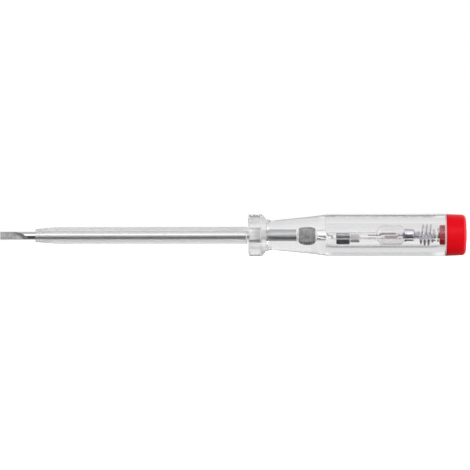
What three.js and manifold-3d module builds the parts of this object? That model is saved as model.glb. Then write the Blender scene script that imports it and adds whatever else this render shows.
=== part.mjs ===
// A voltage tester screwdriver, in millimetres. A steel blade in a clear insulating sleeve is
// moulded into a clear handle. The handle's bore holds a resistor, a glow lamp and a contact
// spring, and a red end cap with a touch contact closes it.
// +X runs along the tool from the blade's tip to the end cap, and +Z is up. The origin is the
// middle of the blade's end face. The blade's two ground faces look along +Y and -Y.
import * as THREE from 'three';
import { mergeVertices } from 'three/addons/utils/BufferGeometryUtils.js';
import Module from 'manifold-3d';

// Fits and fineness shared by all pieces
const seatGap = 0.3;
const cutOverrun = 1;
const bodySegments = 48;
const pieceSegments = 24;
const wireSides = 8;
const arcSteps = 6;
const edgeSteps = 3;
const neckSteps = 24;

// The blade: a round shank with a ground tip, coined ears that lock it in the handle, and a tail
// whose end face stands in the bore
const shankDiameter = 3.2;
const bladeReach = 101;
const tip = { endThickness: 0.6, rootThickness: 0.9, flatLength: 6.2, runOutLength: 4.6 };
const ears = { setback: 20.7, length: 6.9, width: 5, endWidth: 3.5, thickness: 2.2, edge: 0.25 };
const tailProud = 0.3;

// The clear sleeve on the shank, with a tapered nose
const sleeve = { setback: 14.4, diameter: 6.9, noseDiameter: 5.1, taperLength: 8.3, noseRounding: 0.3 };

// The clear handle: hexagonal collar, waisted neck, round body, and a spigot that carries the cap
const collar = {
  acrossFlats: 17.06,
  cornerDiameter: 18.9,
  length: 5.3,
  frontFaceDiameter: 14.2,
  frontBulge: 0.9,
  rearRounding: 0.6,
  rearSlope: 2,
};
const neck = { waistDiameter: 12.2, footDiameter: 13.2, waistSetback: 10.2, length: 23.8 };
const handleDiameter = 17.3;
const spigot = { wall: 2, length: 6, chamfer: 0.4 };
const bore = { lampClearance: 0.55, setback: 31.7 };
// Places along the neck from waist to body, and the rise of its radius there
const neckShares = [
  [0.12, 0.08],
  [0.29, 0.24],
  [0.47, 0.41],
  [0.61, 0.55],
  [0.74, 0.69],
  [0.87, 0.85],
  [0.94, 0.95],
];

// The resistor, which lies low in the bore, with its bent front lead and its metal end cap
const resistor = { diameter: 4.9, length: 5.5, edge: 0.35, lift: 0.9 };
const frontLead = {
  diameter: 0.5,
  length: 3.5,
  rootLength: 1.3,
  jogLength: 0.4,
  jogLift: 1.2,
  noseLength: 0.7,
  noseLift: 1.1,
};
const resistorCap = { diameter: 3.3, length: 3.6, edge: 0.3 };
const joiningLead = { diameter: 0.8, length: 6.2 };

// The glow lamp: domed glass, two electrodes side by side, a glass stem, and a metal base cap
const glass = {
  diameter: 8.3,
  wall: 0.5,
  domeLength: 3.2,
  barrelLength: 6,
  shoulderLength: 2,
  neckDiameter: 4.2,
  neckLength: 1.8,
};
const electrode = { diameter: 0.8, spacing: 2.2, length: 5.4, footLength: 0.9, turnDegrees: 35 };
const leadIn = { diameter: 0.6, insideLength: 0.9, outsideLength: 3.2 };
const stem = { pressDiameter: 1.9, pressLength: 2.2 };
const supportWire = { diameter: 0.4, offset: 0.55 };
const baseCap = { wall: 0.35, skirtLength: 2.1, coneLength: 2.3, seatDiameter: 4.4 };
const solderTip = { diameter: 1.9, length: 1.1, rounding: 0.5 };

// The contact spring: one wire, a narrow coil at each end and wide coils between
const spring = {
  length: 8.1,
  wireDiameter: 0.7,
  boreClearance: 0.2,
  frontDiameter: 4.1,
  rearDiameter: 5,
  endBend: 0.35,
};
const springTurns = 4.75;
const springConeTurns = 1.2;
const springEndTurns = 0.4;
const stepsPerTurn = 16;
const springSides = 6;

// The red end cap, with a boss inside the bore, and the riveted touch contact through it
const cap = {
  length: 8.5,
  rimInset: 0.1,
  draft: 0.25,
  cornerRadius: 1.8,
  crown: 0.2,
  bossClearance: 0.65,
  bossReach: 2.5,
  bossChamfer: 0.45,
};
const contact = { innerHead: 5.7, outerHead: 5.2, headThickness: 0.6, stemDiameter: 2.6, proud: 0.2 };

// Radii that follow from the pieces inside one another
const boreRadius = glass.diameter / 2 + bore.lampClearance;
const spigotRadius = boreRadius + spigot.wall;
const bossRadius = boreRadius - cap.bossClearance;
const springRadius = boreRadius - spring.boreClearance;
const resistorDrop = boreRadius - resistor.diameter / 2 - resistor.lift;
const stemRadius = glass.neckDiameter / 2 - glass.wall - seatGap;
const baseInnerRadius = glass.neckDiameter / 2 + seatGap;

// Places inside the lamp, from the front of its glass, and the electrodes' turn about the axis
const lampHole = leadIn.diameter / 2 + seatGap;
const glassEnd = glass.domeLength + glass.barrelLength + glass.shoulderLength + glass.neckLength;
const electrodeFront = glass.wall + leadIn.insideLength + seatGap;
const electrodeEnd = electrodeFront + electrode.footLength + electrode.length;
const stemFront = electrodeEnd + electrode.footLength + seatGap;
const stemEnd = glassEnd - seatGap;
const baseMouth = glassEnd - glass.neckLength + seatGap;
const baseFloor = glassEnd + seatGap;
const baseSeat = baseMouth + baseCap.skirtLength + baseCap.coneLength;
const electrodeTurn = THREE.MathUtils.degToRad(electrode.turnDegrees);

// Places along the tool, each piece seated on the one before it: the handle is as long as what it
// holds, and the tool is 190 long over all
const collarFront = bladeReach;
const earsFront = collarFront + ears.setback;
const boreFloor = collarFront + bore.setback;
const shankEnd = boreFloor + tailProud;
const resistorFront = shankEnd + seatGap + frontLead.length;
const resistorCapFront = resistorFront + resistor.length + seatGap;
const joiningLeadFront = resistorCapFront + resistorCap.length + seatGap;
const lampFront = joiningLeadFront + joiningLead.length + seatGap;
const springFront = lampFront + baseSeat + seatGap;
const springEnd = springFront + spring.length;
const contactFront = springEnd + seatGap;
const bossFront = contactFront + contact.headThickness + seatGap;
const handleShoulder = bossFront + cap.bossReach;
const spigotEnd = handleShoulder + spigot.length;
const capRim = handleShoulder + seatGap;
const capFace = capRim + cap.length;
const contactFace = capFace + contact.proud;

// Finishes
const steel = () => metal('#b9bbbd', 0.28);
const nickel = () => metal('#b5aaad', 0.3);
const springSteel = () => metal('#a9a5ad', 0.25);
const copperTinted = () => metal('#a98a86', 0.4);
const solder = () => metal('#c9c6d4', 0.35);
const clearAcetate = () => clear('#eef0f1', 0.35, 0.06);
const clearGlass = () => clear('#f3f0f2', 0.3, 0.03);
const blackLacquer = () => plain('#34353a', 0.35);
const redPlastic = () => plain('#e2111f', 0.3);

function metal(color, roughness) {
  return new THREE.MeshStandardMaterial({ color, roughness, metalness: 1 });
}

function clear(color, opacity, roughness) {
  return new THREE.MeshStandardMaterial({ color, roughness, metalness: 0, transparent: true, opacity });
}

function plain(color, roughness) {
  return new THREE.MeshStandardMaterial({ color, roughness, metalness: 0 });
}

// Joins and cuts
const wasm = await Module();
wasm.setup();

function solid(geometry) {
  const bare = geometry.clone();
  bare.deleteAttribute('normal');
  bare.deleteAttribute('uv');
  const merged = mergeVertices(bare);
  const corners = merged.index.array;
  const kept = [];
  for (let i = 0; i < corners.length; i += 3) {
    const [a, b, c] = [corners[i], corners[i + 1], corners[i + 2]];
    if (a !== b && b !== c && c !== a) kept.push(a, b, c);
  }
  const vertProperties = merged.attributes.position.array;
  return new wasm.Manifold(new wasm.Mesh({ numProp: 3, vertProperties, triVerts: new Uint32Array(kept) }));
}

function geometryOf(body) {
  const mesh = body.getMesh();
  const geometry = new THREE.BufferGeometry();
  geometry.setAttribute('position', new THREE.BufferAttribute(mesh.vertProperties, 3));
  geometry.setIndex(new THREE.BufferAttribute(mesh.triVerts, 1));
  geometry.computeVertexNormals();
  return geometry;
}

// A solid of revolution about +X from [place, radius] pairs
function revolve(profile, segments = pieceSegments) {
  const points = profile.map(([x, r]) => new THREE.Vector2(r, x));
  return new THREE.LatheGeometry(points, segments).rotateZ(-Math.PI / 2);
}

function cylinderAlongX(from, to, diameter, segments = pieceSegments) {
  const r = diameter / 2;
  return revolve([[from, 0], [from, r], [to, r], [to, 0]], segments);
}

// A quarter-round edge as [place, radius] pairs, from one angle to another about a centre
function arcPoints(x, r, radius, fromAngle, toAngle, steps = arcSteps) {
  return Array.from({ length: steps + 1 }, (_, i) => {
    const a = fromAngle + ((toAngle - fromAngle) * i) / steps;
    return [x + radius * Math.cos(a), r + radius * Math.sin(a)];
  });
}

// A rod along +X with rounded edges at both ends
function roundedRod(length, diameter, edge) {
  const r = diameter / 2;
  return revolve([
    [0, 0],
    ...arcPoints(edge, r - edge, edge, Math.PI, Math.PI / 2, edgeSteps),
    ...arcPoints(length - edge, r - edge, edge, Math.PI / 2, 0, edgeSteps),
    [length, 0],
  ]);
}

// A round wire bent along a list of points
function wire(points, diameter, steps) {
  const section = new THREE.Shape().absarc(0, 0, diameter / 2, 0, 2 * Math.PI);
  return new THREE.ExtrudeGeometry(section, {
    extrudePath: new THREE.CatmullRomCurve3(points),
    steps,
    curveSegments: wireSides / 2,
    bevelEnabled: false,
  });
}

const at = (x, y = 0, z = 0) => new THREE.Vector3(x, y, z);

function piece(name, geometry, material, place = at(0)) {
  const mesh = new THREE.Mesh(geometry, material);
  mesh.name = name;
  mesh.position.copy(place);
  return mesh;
}

// The ground hollow on one side of the tip, as a cutter that lies on the +Y side
function tipGrind() {
  const [end, root, full] = [tip.endThickness / 2, tip.rootThickness / 2, shankDiameter / 2];
  const outline = new THREE.Shape();
  outline.moveTo(-cutOverrun, end);
  outline.lineTo(0, end);
  outline.lineTo(tip.flatLength, root);
  outline.quadraticCurveTo(tip.flatLength + tip.runOutLength / 2, root, tip.flatLength + tip.runOutLength, full);
  outline.lineTo(tip.flatLength + tip.runOutLength, full + cutOverrun);
  outline.lineTo(-cutOverrun, full + cutOverrun);
  const depth = shankDiameter + 2 * cutOverrun;
  return new THREE.ExtrudeGeometry(outline, { depth, bevelEnabled: false, curveSegments: arcSteps }).translate(
    0,
    0,
    -depth / 2,
  );
}

// A flat plate in the XZ plane with bulging edges, centred on y = 0: the coined ears and their pocket
function earPlate(length, width, endWidth, thickness, edge) {
  const [half, end] = [width / 2 - edge, endWidth / 2 - edge];
  const outline = new THREE.Shape();
  outline.moveTo(edge, -end);
  outline.quadraticCurveTo(length / 2, -2 * half + end, length - edge, -end);
  outline.lineTo(length - edge, end);
  outline.quadraticCurveTo(length / 2, 2 * half - end, edge, end);
  const depth = thickness - 2 * edge;
  const rounding = { bevelThickness: edge, bevelSize: edge, bevelSegments: 2 };
  const geometry = new THREE.ExtrudeGeometry(outline, { depth, curveSegments: 2 * arcSteps, ...rounding });
  return geometry.translate(0, 0, -depth / 2).rotateX(Math.PI / 2);
}

function blade() {
  const grind = tipGrind();
  const side = (shankDiameter - ears.thickness) / 2 + cutOverrun;
  const coin = new THREE.BoxGeometry(ears.length, side, shankDiameter + cutOverrun);
  const coinY = (ears.thickness + side) / 2;
  const coinX = earsFront + ears.length / 2;
  let body = solid(cylinderAlongX(0, shankEnd, shankDiameter));
  body = body.subtract(solid(grind)).subtract(solid(grind.clone().rotateX(Math.PI)));
  body = body.subtract(solid(coin.clone().translate(coinX, coinY, 0)));
  body = body.subtract(solid(coin.clone().translate(coinX, -coinY, 0)));
  const plate = earPlate(ears.length, ears.width, ears.endWidth, ears.thickness, ears.edge);
  return geometryOf(body.add(solid(plate.translate(earsFront, 0, 0))));
}

function insulatingSleeve() {
  const inner = shankDiameter / 2 + seatGap;
  const [front, end] = [sleeve.setback, collarFront - seatGap];
  const [nose, full, soft] = [sleeve.noseDiameter / 2, sleeve.diameter / 2, sleeve.noseRounding];
  return revolve([
    [front, inner],
    ...arcPoints(front + soft, nose - soft, soft, Math.PI, Math.PI / 2, edgeSteps),
    [front + sleeve.taperLength, full],
    [end, full],
    [end, inner],
    [front, inner],
  ]);
}

// The neck's outline from the collar's slope to the body, a smooth curve through its stations
function neckOutline() {
  const [foot, waist, full] = [neck.footDiameter / 2, neck.waistDiameter / 2, handleDiameter / 2];
  const waistX = collarFront + neck.waistSetback;
  const slopeEnd = collarFront + collar.length + collar.rearSlope;
  const stations = [
    [slopeEnd, foot],
    [(slopeEnd + waistX) / 2, waist + (foot - waist) / 5],
    [waistX, waist],
    ...neckShares.map(([along, rise]) => [waistX + along * neck.length, waist + rise * (full - waist)]),
    [waistX + neck.length, full],
  ];
  const curve = new THREE.SplineCurve(stations.map(([x, r]) => new THREE.Vector2(x, r)));
  return curve.getPoints(neckSteps).map((p) => [p.x, p.y]);
}

// The collar: a hexagon with flats above and below, turned to a bulging front and a sloping rear
function collarSolid() {
  const corner = collar.cornerDiameter / 2;
  const face = collar.frontFaceDiameter / 2;
  const rear = collarFront + collar.length;
  const bulge = (steps) =>
    Array.from({ length: steps + 1 }, (_, i) => {
      const a = ((i / steps) * Math.PI) / 2;
      return [collarFront + collar.frontBulge * (1 - Math.cos(a)), face + (corner - face) * Math.sin(a)];
    });
  const slopeEnd = rear + collar.rearSlope;
  const turned = revolve(
    [
      [collarFront, 0],
      ...bulge(arcSteps),
      [rear - collar.rearRounding, corner],
      [rear, corner - collar.rearRounding],
      [slopeEnd, neck.footDiameter / 2],
      [slopeEnd, 0],
    ],
    bodySegments,
  );
  const outline = new THREE.Shape();
  const across = collar.acrossFlats / Math.cos(Math.PI / 6) / 2;
  for (let i = 0; i < 6; i += 1) {
    const a = Math.PI / 6 + (i * Math.PI) / 3;
    const corners = [across * Math.cos(a), across * Math.sin(a)];
    if (i === 0) outline.moveTo(...corners);
    else outline.lineTo(...corners);
  }
  const depth = slopeEnd - collarFront + 2 * cutOverrun;
  const prism = new THREE.ExtrudeGeometry(outline, { depth, bevelEnabled: false });
  prism.rotateY(Math.PI / 2).translate(collarFront - cutOverrun, 0, 0);
  return solid(turned).intersect(solid(prism));
}

function handle() {
  const slopeEnd = collarFront + collar.length + collar.rearSlope;
  const turned = revolve(
    [
      [slopeEnd - cutOverrun, 0],
      [slopeEnd - cutOverrun, neck.footDiameter / 2],
      ...neckOutline(),
      [handleShoulder, handleDiameter / 2],
      [handleShoulder, spigotRadius],
      [spigotEnd - spigot.chamfer, spigotRadius],
      [spigotEnd, spigotRadius - spigot.chamfer],
      [spigotEnd, 0],
    ],
    bodySegments,
  );
  const shankHole = cylinderAlongX(collarFront - cutOverrun, boreFloor + cutOverrun, shankDiameter + 2 * seatGap);
  const earPocket = earPlate(
    ears.length + 2 * seatGap,
    ears.width + 2 * seatGap,
    ears.endWidth + 2 * seatGap,
    ears.thickness + 2 * seatGap,
    ears.edge,
  ).translate(earsFront - seatGap, 0, 0);
  const boreHole = cylinderAlongX(boreFloor, spigotEnd + cutOverrun, 2 * boreRadius, bodySegments);
  let body = collarSolid().add(solid(turned));
  for (const hollow of [shankHole, earPocket, boreHole]) body = body.subtract(solid(hollow));
  return geometryOf(body);
}

// The front lead leaves the resistor, jogs up towards the axis and rises at the shank's end face
function resistorFrontLead() {
  const { length, rootLength, jogLength, jogLift, noseLength, noseLift } = frontLead;
  const points = [
    at(-seatGap),
    at(-rootLength),
    at(-rootLength - jogLength, 0, jogLift),
    at(noseLength - length, 0, jogLift),
    at(frontLead.diameter / 2 - length, 0, jogLift + noseLift),
  ];
  return wire(points, frontLead.diameter, 4 * arcSteps);
}

// Half of the glass's outline at one offset from its outer face: dome, barrel, shoulder and neck
function glassOutline(offset) {
  const [full, slim] = [glass.diameter / 2 - offset, glass.neckDiameter / 2 - offset];
  const dome = Array.from({ length: arcSteps + 1 }, (_, i) => {
    const a = ((i / arcSteps) * Math.PI) / 2;
    return [glass.domeLength - (glass.domeLength - offset) * Math.cos(a), full * Math.sin(a)];
  });
  const shoulderX = glass.domeLength + glass.barrelLength;
  const shoulder = Array.from({ length: arcSteps }, (_, i) => {
    const a = (((i + 1) / arcSteps) * Math.PI) / 2;
    return [shoulderX + glass.shoulderLength * Math.sin(a), slim + (full - slim) * Math.cos(a)];
  });
  const end = [shoulderX + glass.shoulderLength + glass.neckLength, slim];
  return [...dome, [shoulderX, full], ...shoulder, end];
}

// Cuts the dome's centre off an outline, so that the lead-in passes through
function openedAt(radius, outline) {
  const first = outline.findIndex(([, r]) => r > radius);
  const [[x0, r0], [x1, r1]] = [outline[first - 1], outline[first]];
  const x = x0 + ((radius - r0) / (r1 - r0)) * (x1 - x0);
  return [[x, radius], ...outline.slice(first)];
}

function lampGlass() {
  const outside = openedAt(lampHole, glassOutline(0));
  const inside = openedAt(lampHole, glassOutline(glass.wall)).reverse();
  return revolve([...outside, ...inside, outside[0]]);
}

function lampFrontLead() {
  return cylinderAlongX(-leadIn.outsideLength, glass.wall + leadIn.insideLength, leadIn.diameter, wireSides);
}

function lampFrontElectrode() {
  const y = electrode.spacing / 2;
  const bendX = electrodeFront + electrode.footLength;
  const points = [at(electrodeFront), at((electrodeFront + bendX) / 2, y / 2), at(bendX, y), at(electrodeEnd, y)];
  return wire(points, electrode.diameter, 3 * arcSteps).rotateX(electrodeTurn);
}

// The rear electrode is the front one's mirror image, carried from the stem
function lampRearElectrode() {
  const y = -electrode.spacing / 2;
  const [start, end] = [electrodeFront + 2 * electrode.footLength, stemFront - seatGap];
  const points = [at(start, y), at(electrodeEnd, y), at((electrodeEnd + end) / 2, y / 2), at(end)];
  return wire(points, electrode.diameter, 3 * arcSteps).rotateX(electrodeTurn);
}

// A support wire braces the front electrode's free end from the stem's flattened press
function lampSupportWire() {
  const from = at(electrodeEnd + seatGap, electrode.spacing / 2, supportWire.offset / 2);
  const to = at(stemFront - seatGap, supportWire.offset, supportWire.offset);
  return wire([from, from.clone().lerp(to, 1 / 2), to], supportWire.diameter, 3).rotateX(electrodeTurn);
}

function lampStem() {
  const [hole, press, full] = [lampHole, stem.pressDiameter / 2, stemRadius];
  const pressEnd = stemFront + stem.pressLength / 2;
  return revolve([
    [stemFront, hole],
    [stemFront, press],
    [pressEnd, press],
    [stemFront + stem.pressLength, full],
    [stemEnd, full],
    [stemEnd, hole],
    [stemFront, hole],
  ]);
}

function lampRearLead() {
  return cylinderAlongX(stemFront + seatGap / 2, baseFloor - seatGap, leadIn.diameter, wireSides);
}

function lampBaseCap() {
  const [inner, seat] = [baseInnerRadius, baseCap.seatDiameter / 2];
  const full = inner + baseCap.wall;
  return revolve([
    [baseMouth, inner],
    [baseMouth, full],
    [baseMouth + baseCap.skirtLength, full],
    [baseSeat, seat],
    [baseSeat, 0],
    [baseFloor, 0],
    [baseFloor, inner],
    [baseMouth, inner],
  ]);
}

function lampSolderTip() {
  const { length, rounding } = solderTip;
  const r = solderTip.diameter / 2;
  return revolve([
    [0, 0],
    [0, r],
    ...arcPoints(length - rounding, r - rounding, rounding, Math.PI / 2, 0, edgeSteps),
    [length, 0],
  ]);
}

// A tube of one wire along close points, with flat ends, carried along without twisting
function tubeAlong(points, radius, sides) {
  const positions = [];
  const faces = [];
  const tangents = points.map((p, i) => {
    const before = points[Math.max(i - 1, 0)];
    const after = points[Math.min(i + 1, points.length - 1)];
    return after.clone().sub(before).normalize();
  });
  let normal = at(0, 1, 0).cross(tangents[0]).normalize();
  points.forEach((p, i) => {
    normal = normal.clone().addScaledVector(tangents[i], -normal.dot(tangents[i])).normalize();
    const side = tangents[i].clone().cross(normal);
    for (let k = 0; k < sides; k += 1) {
      const a = (2 * Math.PI * k) / sides;
      const v = p.clone().addScaledVector(normal, radius * Math.cos(a)).addScaledVector(side, radius * Math.sin(a));
      positions.push(v.x, v.y, v.z);
    }
  });
  for (let i = 0; i + 1 < points.length; i += 1) {
    for (let k = 0; k < sides; k += 1) {
      const [a, b] = [i * sides + k, i * sides + ((k + 1) % sides)];
      faces.push(a, b, b + sides, a, b + sides, a + sides);
    }
  }
  const last = (points.length - 1) * sides;
  for (let k = 1; k + 1 < sides; k += 1) faces.push(0, k + 1, k, last, last + k, last + k + 1);
  const geometry = new THREE.BufferGeometry();
  geometry.setAttribute('position', new THREE.Float32BufferAttribute(positions, 3));
  geometry.setIndex(faces);
  geometry.computeVertexNormals();
  return geometry;
}

// The spring's centreline: a barrel helix with each end bent square to the face that it bears on
function springLine() {
  const { wireDiameter, endBend } = spring;
  const mean = (outer) => outer - wireDiameter / 2;
  const [front, wide, rear] = [spring.frontDiameter / 2, springRadius, spring.rearDiameter / 2].map(mean);
  const stub = wireDiameter + endBend;
  const from = springFront + stub;
  const run = springEnd - stub - from;
  const smooth = THREE.MathUtils.smoothstep;
  const helix = (turn) => {
    const opened = smooth(turn, springEndTurns, springEndTurns + springConeTurns);
    const closed = smooth(springTurns - turn, springEndTurns, springEndTurns + springConeTurns);
    const narrow = turn < springTurns / 2 ? front : rear;
    const r = narrow + (wide - narrow) * Math.min(opened, closed);
    const a = 2 * Math.PI * turn;
    return at(from + (run * turn) / springTurns, -r * Math.sin(a), r * Math.cos(a));
  };
  const steps = Math.round(springTurns * stepsPerTurn);
  const points = Array.from({ length: steps + 1 }, (_, i) => helix((i * springTurns) / steps));
  // Each end turns from the coil's own direction to the tool's axis, then runs straight
  const endOf = (tipPoint, neighbour, along) => {
    const away = tipPoint.clone().sub(neighbour).setX(0).normalize();
    const bendPoints = Array.from({ length: arcSteps }, (_, i) => {
      const a = (((i + 1) / arcSteps) * Math.PI) / 2;
      return tipPoint
        .clone()
        .addScaledVector(away, endBend * Math.sin(a))
        .add(at(along * endBend * (1 - Math.cos(a))));
    });
    const last = bendPoints[bendPoints.length - 1];
    return [...bendPoints, last.clone().add(at(along * wireDiameter))];
  };
  return [
    ...endOf(points[0], points[1], -1).reverse(),
    ...points,
    ...endOf(points[steps], points[steps - 1], 1),
  ];
}

// The least clear distance between stretches of the wire that are half a turn or more apart
function leastGap(points) {
  const apart = stepsPerTurn / 2;
  let least = Infinity;
  points.forEach((p, i) => {
    for (let j = i + apart; j < points.length; j += 1) least = Math.min(least, p.distanceTo(points[j]));
  });
  return least - spring.wireDiameter;
}

function contactSpring() {
  const points = springLine();
  console.log(`contact_spring: least gap to itself ${leastGap(points).toFixed(2)} mm`);
  return tubeAlong(points, spring.wireDiameter / 2, springSides);
}

function endCap() {
  const rim = handleDiameter / 2 - cap.rimInset;
  const [end, corner] = [rim - cap.draft, cap.cornerRadius];
  const boss = bossRadius;
  const hole = contact.stemDiameter / 2 + seatGap;
  const recess = contact.outerHead / 2 + seatGap;
  const recessFloor = contactFace - contact.headThickness - seatGap;
  const [grooveFloor, skirt] = [spigotEnd + seatGap, spigotRadius + seatGap];
  const cornerX = capFace - cap.crown - corner;
  return revolve(
    [
      [bossFront, hole],
      [bossFront, boss - cap.bossChamfer],
      [bossFront + cap.bossChamfer, boss],
      [grooveFloor, boss],
      [grooveFloor, skirt],
      [capRim, skirt],
      [capRim, rim],
      [cornerX, end],
      ...arcPoints(cornerX, end - corner, corner, Math.PI / 2, 0).slice(1),
      [capFace, recess],
      [recessFloor, recess],
      [recessFloor, hole],
      [bossFront, hole],
    ],
    bodySegments,
  );
}

function touchContact() {
  const [inner, outer, stemRadius] = [contact.innerHead, contact.outerHead, contact.stemDiameter].map((d) => d / 2);
  return revolve([
    [contactFront, 0],
    [contactFront, inner],
    [contactFront + contact.headThickness, inner],
    [contactFront + contact.headThickness, stemRadius],
    [contactFace - contact.headThickness, stemRadius],
    [contactFace - contact.headThickness, outer],
    [contactFace, outer],
    [contactFace, 0],
  ]);
}

// The assembly: what is moulded in, what comes off with the cap, and the stack in the bore
const handleGroup = new THREE.Group();
handleGroup.add(
  piece('blade', blade(), steel()),
  piece('insulating_sleeve', insulatingSleeve(), clearAcetate()),
  piece('handle', handle(), clearAcetate()),
);

const capGroup = new THREE.Group();
capGroup.add(
  piece('end_cap', endCap(), redPlastic()),
  piece('touch_contact', touchContact(), nickel()),
  piece('contact_spring', contactSpring(), springSteel()),
);

const resistorGroup = new THREE.Group();
resistorGroup.position.set(resistorFront, 0, -resistorDrop);
resistorGroup.add(
  piece('resistor_front_lead', resistorFrontLead(), nickel()),
  piece('resistor_body', roundedRod(resistor.length, resistor.diameter, resistor.edge), blackLacquer()),
  piece(
    'resistor_end_cap',
    roundedRod(resistorCap.length, resistorCap.diameter, resistorCap.edge),
    nickel(),
    at(resistorCapFront - resistorFront),
  ),
  piece(
    'joining_lead',
    cylinderAlongX(0, joiningLead.length, joiningLead.diameter, wireSides),
    nickel(),
    at(joiningLeadFront - resistorFront),
  ),
);

const lampGroup = new THREE.Group();
lampGroup.position.set(lampFront, 0, 0);
lampGroup.add(
  piece('lamp_glass', lampGlass(), clearGlass()),
  piece('lamp_front_lead', lampFrontLead(), nickel()),
  piece('lamp_front_electrode', lampFrontElectrode(), copperTinted()),
  piece('lamp_rear_electrode', lampRearElectrode(), copperTinted()),
  piece('lamp_support_wire', lampSupportWire(), nickel()),
  piece('lamp_stem', lampStem(), clearGlass()),
  piece('lamp_rear_lead', lampRearLead(), nickel()),
  piece('lamp_base_cap', lampBaseCap(), nickel()),
  piece('lamp_solder_tip', lampSolderTip(), solder(), at(baseSeat + seatGap)),
);

const tester = new THREE.Group();
tester.add(handleGroup, capGroup, resistorGroup, lampGroup);

export default tester;
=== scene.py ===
import math

import bpy
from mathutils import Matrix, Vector


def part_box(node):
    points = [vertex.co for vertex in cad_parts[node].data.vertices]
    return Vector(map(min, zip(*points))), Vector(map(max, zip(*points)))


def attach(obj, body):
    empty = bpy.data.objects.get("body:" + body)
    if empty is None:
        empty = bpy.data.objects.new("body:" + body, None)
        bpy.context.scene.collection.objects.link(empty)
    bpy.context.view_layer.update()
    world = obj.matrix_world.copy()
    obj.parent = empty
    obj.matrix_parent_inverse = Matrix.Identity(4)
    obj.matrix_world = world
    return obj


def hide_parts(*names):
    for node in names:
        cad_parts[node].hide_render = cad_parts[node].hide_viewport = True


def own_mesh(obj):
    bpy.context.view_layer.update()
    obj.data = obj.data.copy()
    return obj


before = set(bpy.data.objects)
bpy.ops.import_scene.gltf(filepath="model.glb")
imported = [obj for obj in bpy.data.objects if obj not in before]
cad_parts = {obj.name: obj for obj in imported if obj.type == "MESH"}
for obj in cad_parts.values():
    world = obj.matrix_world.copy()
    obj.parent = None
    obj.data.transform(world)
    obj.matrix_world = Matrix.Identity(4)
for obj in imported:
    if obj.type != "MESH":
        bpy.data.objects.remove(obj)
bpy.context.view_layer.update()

# A voltage tester screwdriver: a steel blade in a clear sleeve, a clear handle that shows the
# resistor, glow lamp and contact spring in its bore, and a red end cap with a touch contact.
# +X runs from the blade's tip to the end cap. Sizes are millimetres, and MM makes them metres.
MM = 0.001


def span(node):
    """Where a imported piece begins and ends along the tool"""
    low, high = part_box(node)
    return low.x / MM, high.x / MM


# Fineness and fits
ROUND = 96
ROD_ROUND = 120
BODY_ROUND = 144
SMALL_ROUND = 48
SHARP_ANGLE = math.radians(32)
SINK = 0.02
FIT_GAP = 0.3

# The blade and its sleeve
SHANK_RADIUS = 1.6
SHANK_END = span("blade")[1]
TIP_END_HALF = 0.3
TIP_ROOT_HALF = 0.45
TIP_FLAT = 7.0
TIP_RUN_OUT = 3.4
TIP_SLANT = 1.5
EAR_FRONT = 121.7
EAR_LENGTH = 6.9
EAR_END = EAR_FRONT + EAR_LENGTH
EAR_HALF_WIDTH = 2.5
EAR_HALF_THICKNESS = 1.1
EAR_RAMP = 1.0
EAR_DROP = 0.25
TAIL_FRONT = 129.6
MARK_START, MARK_END = 198, 222
MARK_HALF_WIDTH = 14
MARK_DEPTH = 0.32
DULL_FROM, DULL_TO = 101.0, 105.0
SLEEVE_FRONT, SLEEVE_END = span("insulating_sleeve")
SLEEVE_RADIUS = 3.45
SLEEVE_NOSE_RADIUS = 2.55
SLEEVE_BORE = 1.85
SLEEVE_CUT_FROM, SLEEVE_CUT_TO = SLEEVE_END - 0.8, SLEEVE_END - 0.5
SLEEVE_TAPER = 8.3

# The clear handle
HANDLE_FRONT, HANDLE_END = span("handle")
FLAT_RADIUS = 8.53
CORNER_RADIUS = 9.45
COLLAR_FACE_RADIUS = 7.1
COLLAR_END = HANDLE_FRONT + 5.3
COLLAR_BULGE = 0.9
COLLAR_ROUNDING = 0.6
COLLAR_SLOPE = 2.0
FACET_CRISPNESS = 80
NECK_FOOT_RADIUS = 6.6
NECK_WAIST_RADIUS = 6.1
NECK_WAIST = HANDLE_FRONT + 10.2
NECK_LENGTH = 23.8
# How the neck widens: shares of its length behind the waist, and of its rise to the body
NECK_SHARES = [
    (0.12, 0.08), (0.29, 0.24), (0.47, 0.41), (0.61, 0.55), (0.74, 0.69), (0.87, 0.85), (0.94, 0.95),
]
BODY_RADIUS = 8.65
BORE_RADIUS = 4.7
BORE_FLOOR = SHANK_END - 0.3
SPIGOT_RADIUS = 6.7
SPIGOT_LENGTH = 6.0
# The shoulder lies 0.2 mm behind the solids' one, so that only a hairline shows between it and the cap
SHOULDER = HANDLE_END - SPIGOT_LENGTH + 0.2
SHOULDER_BAND = 0.35
SEAM_ANGLE = 10
SEAM_FRONT = BORE_FLOOR
SEAM_DEPTH = 0.12
SEAM_HALF_WIDTH = 2.0
SEAM_SCUFF = 0.35
SHADE_STRIP_ANGLE = math.radians(70)
SHADE_STRIP_REACH = 8.3

# The end cap and its contact
CAP_FRONT, CAP_FACE = span("end_cap")
CAP_RIM = SHOULDER + 0.1
CAP_RIM_RADIUS = 8.55
CAP_END_RADIUS = 8.3
CAP_CORNER = 1.8
CAP_CROWN = 0.2
CAP_HIGHLIGHT_PLACE = CAP_FACE - 0.85
CAP_LIP_HIGHLIGHT = 0.28
BOSS_RADIUS = 4.05
BOSS_CHAMFER = 0.45
CONTACT_FRONT, CONTACT_FACE = span("touch_contact")
CONTACT_INNER_RADIUS = 2.85
CONTACT_OUTER_RADIUS = 2.6
CONTACT_STEM_RADIUS = 1.3
CONTACT_HEAD = 0.6

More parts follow.
